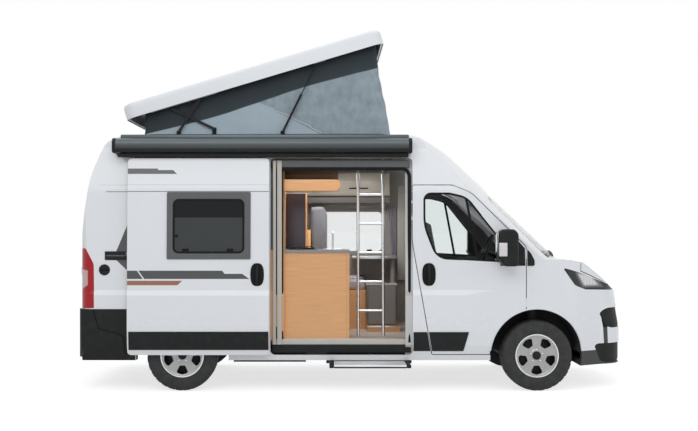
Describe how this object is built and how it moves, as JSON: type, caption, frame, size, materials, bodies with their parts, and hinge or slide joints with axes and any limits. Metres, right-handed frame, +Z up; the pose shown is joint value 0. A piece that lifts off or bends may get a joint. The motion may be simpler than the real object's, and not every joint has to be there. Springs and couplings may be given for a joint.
{
  "type": "camper van",
  "caption": "High-roof panel van fitted as a camper, with a slid-back side door, raised fabric-sided sleeping roof, awning case, entry step and furnished interior.",
  "frame": {"origin": "on the ground, under the middle of the length and width", "axes": "+X forward, +Y to the left side, +Z up"},
  "size_m": [5.413, 2.508, 3.5469],
  "materials": {
    "white_paint": "gloss white",
    "roof_shell": "gloss white glass-fibre",
    "black_plastic": "grained",
    "clear_glass": "clear",
    "tinted_pane": "tinted acrylic",
    "lamp_lens": "clear lens",
    "grey_frame": "satin",
    "rail_steel": "satin",
    "chassis": "satin black",
    "underbody": "dull",
    "floor_steel": "satin grey",
    "engine_metal": "rough",
    "alloy": "satin silver",
    "tyre_rubber": "matt",
    "wood": "satin veneer",
    "worktop_grey": "satin laminate",
    "grey_cloth": "woven",
    "mattress_cloth": "woven",
    "curtain_cloth": "soft",
    "tent_cloth": "coated canvas",
    "bare_aluminium": "anodised"
  },
  "bodies": {
    "van_body": {"roof_panel": "white_paint", "right_wall": "white_paint", "left_wall": "white_paint", "front_body": "white_paint", "front_bumper": "white_paint", "side_door": "white_paint", "black_trim": "black_plastic", "cab_fittings": "black_plastic", "wheel_arch_liners": "black_plastic", "windscreen": "clear_glass", "window_panes": "tinted_pane", "lamps": "lamp_lens", "window_frames": "grey_frame", "door_rails": "rail_steel", "axles": "chassis", "underfloor": "underbody", "floor_pan": "floor_steel", "engine": "engine_metal", "cabinets": "wood", "worktops": "worktop_grey", "bench_cushions": "grey_cloth", "front_seats": "grey_cloth", "mattress": "mattress_cloth", "curtain": "curtain_cloth", "tent_fabric": "tent_cloth", "ladder": "bare_aluminium", "awning": "bare_aluminium"},
    "bonnet": {"bonnet": "white_paint"},
    "front_door_right": {"front_door_right": "white_paint", "front_glass_right": "clear_glass", "mirror_right": "black_plastic"},
    "front_door_left": {"front_door_left": "white_paint", "front_glass_left": "clear_glass", "mirror_left": "black_plastic"},
    "rear_door_right": {"rear_door_right": "white_paint", "rear_glass_right": "clear_glass"},
    "rear_door_left": {"rear_door_left": "white_paint", "rear_glass_left": "clear_glass"},
    "pop_top": {"pop_top": "roof_shell"},
    "rear_arms": {"rear_arms": "rail_steel"},
    "cross_arms": {"cross_arms": "rail_steel"},
    "strut_cylinders": {"strut_cylinders": "chassis"},
    "strut_rods": {"strut_rods": "rail_steel"},
    "knuckle_right": {"knuckle_right": "chassis"},
    "knuckle_left": {"knuckle_left": "chassis"},
    "wheel_front_right": {"rim_front_right": "alloy", "tyre_front_right": "tyre_rubber"},
    "wheel_front_left": {"rim_front_left": "alloy", "tyre_front_left": "tyre_rubber"},
    "wheel_rear_right": {"rim_rear_right": "alloy", "tyre_rear_right": "tyre_rubber"},
    "wheel_rear_left": {"rim_rear_left": "alloy", "tyre_rear_left": "tyre_rubber"},
    "step": {"step": "bare_aluminium"}
  },
  "joints": [
    {"name": "bonnet_hinge", "type": "hinge", "parent": "van_body", "child": "bonnet", "pos_m": [2.2025, 0, 1.275], "axis": [0, -1, 0], "range_deg": [0, 55]},
    {"name": "front_door_right_hinge", "type": "hinge", "parent": "van_body", "child": "front_door_right", "pos_m": [1.6545, -0.9985, 0.86], "axis": [0, 0, 1], "range_deg": [0, 70]},
    {"name": "front_door_left_hinge", "type": "hinge", "parent": "van_body", "child": "front_door_left", "pos_m": [1.6545, 0.9985, 0.86], "axis": [0, 0, -1], "range_deg": [0, 70]},
    {"name": "rear_door_right_hinge", "type": "hinge", "parent": "van_body", "child": "rear_door_right", "pos_m": [-2.6965, -0.83, 0.74], "axis": [0, 0, 1], "range_deg": [0, 135]},
    {"name": "rear_door_left_hinge", "type": "hinge", "parent": "van_body", "child": "rear_door_left", "pos_m": [-2.6965, 0.83, 0.74], "axis": [0, 0, -1], "range_deg": [0, 135]},
    {"name": "roof_lift", "type": "hinge", "parent": "van_body", "child": "pop_top", "pos_m": [-2.752, 0, 2.546], "axis": [0, 1, 0], "range_deg": [0, 16.7], "deforming": ["tent_fabric"]},
    {"name": "rear_arms_swing", "type": "hinge", "parent": "van_body", "child": "rear_arms", "pos_m": [-1.4, 0, 2.564], "axis": [0, 1, 0], "range_deg": [-25.59, 0]},
    {"name": "cross_arms_swing", "type": "hinge", "parent": "van_body", "child": "cross_arms", "pos_m": [-1.752, 0, 2.53], "axis": [0, 1, 0], "range_deg": [0, 57.53]},
    {"name": "strut_swing", "type": "hinge", "parent": "van_body", "child": "strut_cylinders", "pos_m": [-0.723, 0, 2.53], "axis": [0, 1, 0], "range_deg": [0, 63.16]},
    {"name": "strut_slide", "type": "slide", "parent": "strut_cylinders", "child": "strut_rods", "axis": [0.4418, 0, 0.8971], "range_m": [-0.34615, 0]},
    {"name": "steer_left", "type": "hinge", "parent": "van_body", "child": "knuckle_left", "pos_m": [1.7585, 0.775, 0.341], "axis": [0, 0, 1], "range_deg": [-35, 35]},
    {"name": "steer_right", "type": "hinge", "parent": "van_body", "child": "knuckle_right", "pos_m": [1.7585, -0.775, 0.341], "axis": [0, 0, 1], "range_deg": [-35, 35]},
    {"name": "wheel_front_right_spin", "type": "hinge", "parent": "knuckle_right", "child": "wheel_front_right", "pos_m": [1.7585, -0.905, 0.341], "axis": [0, 1, 0], "continuous": true},
    {"name": "wheel_front_left_spin", "type": "hinge", "parent": "knuckle_left", "child": "wheel_front_left", "pos_m": [1.7585, 0.905, 0.341], "axis": [0, 1, 0], "continuous": true},
    {"name": "wheel_rear_right_spin", "type": "hinge", "parent": "van_body", "child": "wheel_rear_right", "pos_m": [-1.6915, -0.895, 0.341], "axis": [0, 1, 0], "continuous": true},
    {"name": "wheel_rear_left_spin", "type": "hinge", "parent": "van_body", "child": "wheel_rear_left", "pos_m": [-1.6915, 0.895, 0.341], "axis": [0, 1, 0], "continuous": true},
    {"name": "step_slide", "type": "slide", "parent": "van_body", "child": "step", "axis": [0, 1, 0], "range_m": [0, 0.25]}
  ],
  "couplings": [
    {"joint": "rear_arms_swing", "follows": "roof_lift", "ratio": -1.5316},
    {"joint": "cross_arms_swing", "follows": "roof_lift", "ratio": 3.4441},
    {"joint": "strut_swing", "follows": "roof_lift", "ratio": 3.7816},
    {"joint": "strut_slide", "follows": "roof_lift", "m_per_rad": -1.1872},
    {"joint": "steer_right", "follows": "steer_left", "ratio": 1}
  ]
}
